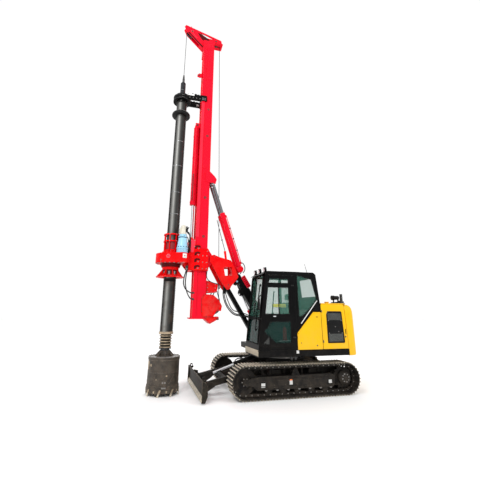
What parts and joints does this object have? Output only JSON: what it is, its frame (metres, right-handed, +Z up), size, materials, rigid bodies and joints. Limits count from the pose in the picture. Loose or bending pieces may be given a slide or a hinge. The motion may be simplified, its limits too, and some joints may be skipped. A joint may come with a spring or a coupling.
{
  "type": "rotary piling rig",
  "caption": "Compact crawler drilling rig with slewing cab, folding mast, sliding rotary head and telescopic kelly bar carrying a drilling bucket.",
  "frame": {"origin": "centre of the bottom of the bounding box, on the ground", "axes": "+X in the direction of travel, +Y to the cab side, +Z up"},
  "size_m": [5.12, 2.3, 10.64],
  "materials": {
    "undercarriage_black": "worn satin black paint",
    "slew_steel": "greased steel",
    "track_steel": "worn dark steel shoes",
    "roller_steel": "dusty steel",
    "blade_black": "worn black paint with a bare lower edge",
    "cylinder_black": "satin black paint",
    "rod_chrome": "polished",
    "deck_black": "satin black paint",
    "cab_black": "satin black paint",
    "cab_glass": "green tint",
    "seat_fabric": "woven grey-green",
    "engine_metal": "plain",
    "body_yellow": "gloss yellow paint",
    "counterweight_yellow": "gloss yellow paint on cast iron",
    "exhaust_steel": "heat-stained",
    "cleaner_plastic": "moulded black",
    "link_black": "satin black paint",
    "rig_red": "gloss red paint",
    "sheave_steel": "worn groove",
    "drum_steel": "wound with rope",
    "rope_steel": "greased wire rope",
    "motor_blue": "light blue and cream paint",
    "guide_black": "satin black paint",
    "kelly_steel": "dark mill scale, polished by use",
    "damper_steel": "dusty tan",
    "bucket_steel": "rusty dark steel",
    "swivel_steel": "plain"
  },
  "bodies": {
    "undercarriage": {"carbody": "undercarriage_black", "slew_ring": "slew_steel", "track_frame_left": "undercarriage_black", "track_frame_right": "undercarriage_black", "track_left": "track_steel", "track_right": "track_steel", "front_idler_left": "roller_steel", "front_idler_right": "roller_steel", "drive_sprocket_left": "roller_steel", "drive_sprocket_right": "roller_steel", "track_rollers_left": "roller_steel", "track_rollers_right": "roller_steel"},
    "blade": {"dozer_blade": "blade_black", "blade_arms": "blade_black"},
    "blade_barrel": {"blade_cylinder": "cylinder_black"},
    "blade_rod": {"blade_cylinder_rod": "rod_chrome"},
    "house": {"house_deck": "deck_black", "cab_shell": "cab_black", "cab_windows": "cab_glass", "operator_seat": "seat_fabric", "engine_block": "engine_metal", "side_panel": "body_yellow", "right_side_cover": "body_yellow", "counterweight": "counterweight_yellow"},
    "door": {"cab_door": "cab_black", "cab_door_glass": "cab_glass"},
    "side_door": {"engine_door": "body_yellow"},
    "hood": {"engine_hood": "body_yellow", "exhaust_pipe": "exhaust_steel", "air_precleaner": "cleaner_plastic"},
    "boom": {"upper_boom": "link_black"},
    "link": {"lower_link": "link_black"},
    "bracket": {"luffing_bracket": "rig_red"},
    "boom_barrel": {"boom_cylinder": "rig_red"},
    "boom_rod": {"boom_cylinder_rod": "rod_chrome"},
    "mast": {"mast": "rig_red", "mast_jib": "rig_red", "winch_frame": "rig_red", "winch_rope": "rope_steel", "hoist_rope": "rope_steel", "crowd_cylinder": "rig_red"},
    "sheave_front": {"front_sheave": "sheave_steel"},
    "sheave_rear": {"rear_sheave": "sheave_steel"},
    "drum": {"winch_drum": "drum_steel"},
    "luff_barrels": {"luffing_cylinder_left": "rig_red", "luffing_cylinder_right": "rig_red"},
    "luff_rods": {"luffing_rod_left": "rod_chrome", "luffing_rod_right": "rod_chrome"},
    "head": {"head_carriage": "rig_red", "rotary_gearbox": "rig_red", "rotary_motor": "motor_blue", "crowd_cylinder_rod": "rod_chrome"},
    "sleeve": {"drive_sleeve": "rig_red"},
    "guide": {"kelly_guide": "guide_black"},
    "kelly": {"kelly_outer": "kelly_steel"},
    "kelly_core": {"kelly_inner": "kelly_steel", "damper_spring": "damper_steel", "drilling_bucket": "bucket_steel", "rope_swivel": "swivel_steel"},
    "gate": {"bucket_gate": "bucket_steel"}
  },
  "joints": [
    {"name": "blade_lift", "type": "hinge", "parent": "undercarriage", "child": "blade", "pos_m": [-0.01, 0, 0.5], "axis": [0, 1, 0], "range_deg": [-13, 12]},
    {"name": "blade_barrel_swing", "type": "hinge", "parent": "undercarriage", "child": "blade_barrel", "pos_m": [-0.11, 0, 0.74], "axis": [0, 1, 0], "range_deg": [-12, 11]},
    {"name": "blade_rod_slide", "type": "slide", "parent": "blade_barrel", "child": "blade_rod", "axis": [0.9519, 0, -0.3065], "range_m": [-0.06, 0.06]},
    {"name": "slew", "type": "hinge", "parent": "undercarriage", "child": "house", "pos_m": [-0.73, 0, 0.812], "axis": [0, 0, 1], "continuous": true},
    {"name": "cab_door_swing", "type": "hinge", "parent": "house", "child": "door", "pos_m": [-0.678, 1.137, 1.19], "axis": [0, 0, 1], "range_deg": [0, 115]},
    {"name": "engine_door_swing", "type": "hinge", "parent": "house", "child": "side_door", "pos_m": [-1.337, 1.137, 1.1], "axis": [0, 0, -1], "range_deg": [0, 100]},
    {"name": "hood_lift", "type": "hinge", "parent": "house", "child": "hood", "pos_m": [-1.339, 0, 1.959], "axis": [0, 1, 0], "range_deg": [0, 55]},
    {"name": "boom_luff", "type": "hinge", "parent": "house", "child": "boom", "pos_m": [-0.41, 0, 1.28], "axis": [0, 1, 0], "range_deg": [-12, 15]},
    {"name": "link_luff", "type": "hinge", "parent": "house", "child": "link", "pos_m": [-0.12, 0, 1.02], "axis": [0, 1, 0], "range_deg": [-12, 15]},
    {"name": "bracket_level", "type": "hinge", "parent": "boom", "child": "bracket", "pos_m": [0.43, 0, 2.62], "axis": [0, 1, 0], "range_deg": [-15, 12]},
    {"name": "boom_barrel_swing", "type": "hinge", "parent": "house", "child": "boom_barrel", "pos_m": [-0.3, 0, 1], "axis": [0, 1, 0], "range_deg": [-11, 14]},
    {"name": "boom_rod_slide", "type": "slide", "parent": "boom_barrel", "child": "boom_rod", "axis": [0.4624, 0, 0.8867], "range_m": [-0.07, 0.06]},
    {"name": "mast_fold", "type": "hinge", "parent": "bracket", "child": "mast", "pos_m": [1.104, 0, 3.042], "axis": [0, 1, 0], "range_deg": [-65, 3]},
    {"name": "luff_barrel_swing", "type": "hinge", "parent": "bracket", "child": "luff_barrels", "pos_m": [0.392, 0, 2.815], "axis": [0, 1, 0], "range_deg": [-64, 6]},
    {"name": "luff_rod_slide", "type": "slide", "parent": "luff_barrels", "child": "luff_rods", "axis": [0.3194, 0, 0.9476], "range_m": [-0.82, 0.08]},
    {"name": "front_sheave_spin", "type": "hinge", "parent": "mast", "child": "sheave_front", "pos_m": [2.005, 0, 10.425], "axis": [0, 1, 0], "continuous": true},
    {"name": "rear_sheave_spin", "type": "hinge", "parent": "mast", "child": "sheave_rear", "pos_m": [1.21, 0, 10.215], "axis": [0, 1, 0], "continuous": true},
    {"name": "winch_drum_spin", "type": "hinge", "parent": "mast", "child": "drum", "pos_m": [1.085, 0, 1.88], "axis": [0, 1, 0], "continuous": true},
    {"name": "head_crowd", "type": "slide", "parent": "mast", "child": "head", "axis": [0, 0, 1], "range_m": [-1.05, 0.95]},
    {"name": "sleeve_spin", "type": "hinge", "parent": "head", "child": "sleeve", "pos_m": [2.175, 0, 2.8], "axis": [0, 0, 1], "continuous": true},
    {"name": "kelly_hoist", "type": "slide", "parent": "mast", "child": "guide", "axis": [0, 0, 1], "range_m": [-3.2, 1.25], "deforming": ["hoist_rope"]},
    {"name": "kelly_spin", "type": "hinge", "parent": "guide", "child": "kelly", "pos_m": [2.175, 0, 7.3], "axis": [0, 0, 1], "continuous": true},
    {"name": "bucket_gate_swing", "type": "hinge", "parent": "kelly_core", "child": "gate", "pos_m": [2.175, -0.412, 0.125], "axis": [-1, 0, 0], "range_deg": [0, 80]},
    {"name": "kelly_telescope", "type": "slide", "parent": "kelly", "child": "kelly_core", "axis": [0, 0, 1], "range_m": [-5, 0], "deforming": ["hoist_rope"]}
  ],
  "couplings": [
    {"joint": "blade_barrel_swing", "follows": "blade_lift", "ratio": 0.866},
    {"joint": "blade_rod_slide", "follows": "blade_lift", "m_per_rad": 0.197},
    {"joint": "link_luff", "follows": "boom_luff", "ratio": 1},
    {"joint": "bracket_level", "follows": "boom_luff", "ratio": -1},
    {"joint": "boom_barrel_swing", "follows": "boom_luff", "ratio": 0.86},
    {"joint": "boom_rod_slide", "follows": "boom_luff", "m_per_rad": -0.229},
    {"joint": "luff_barrel_swing", "follows": "mast_fold", "ratio": 0.968},
    {"joint": "luff_rod_slide", "follows": "mast_fold", "m_per_rad": 0.7056},
    {"joint": "sleeve_spin", "follows": "kelly_spin", "ratio": 1}
  ]
}
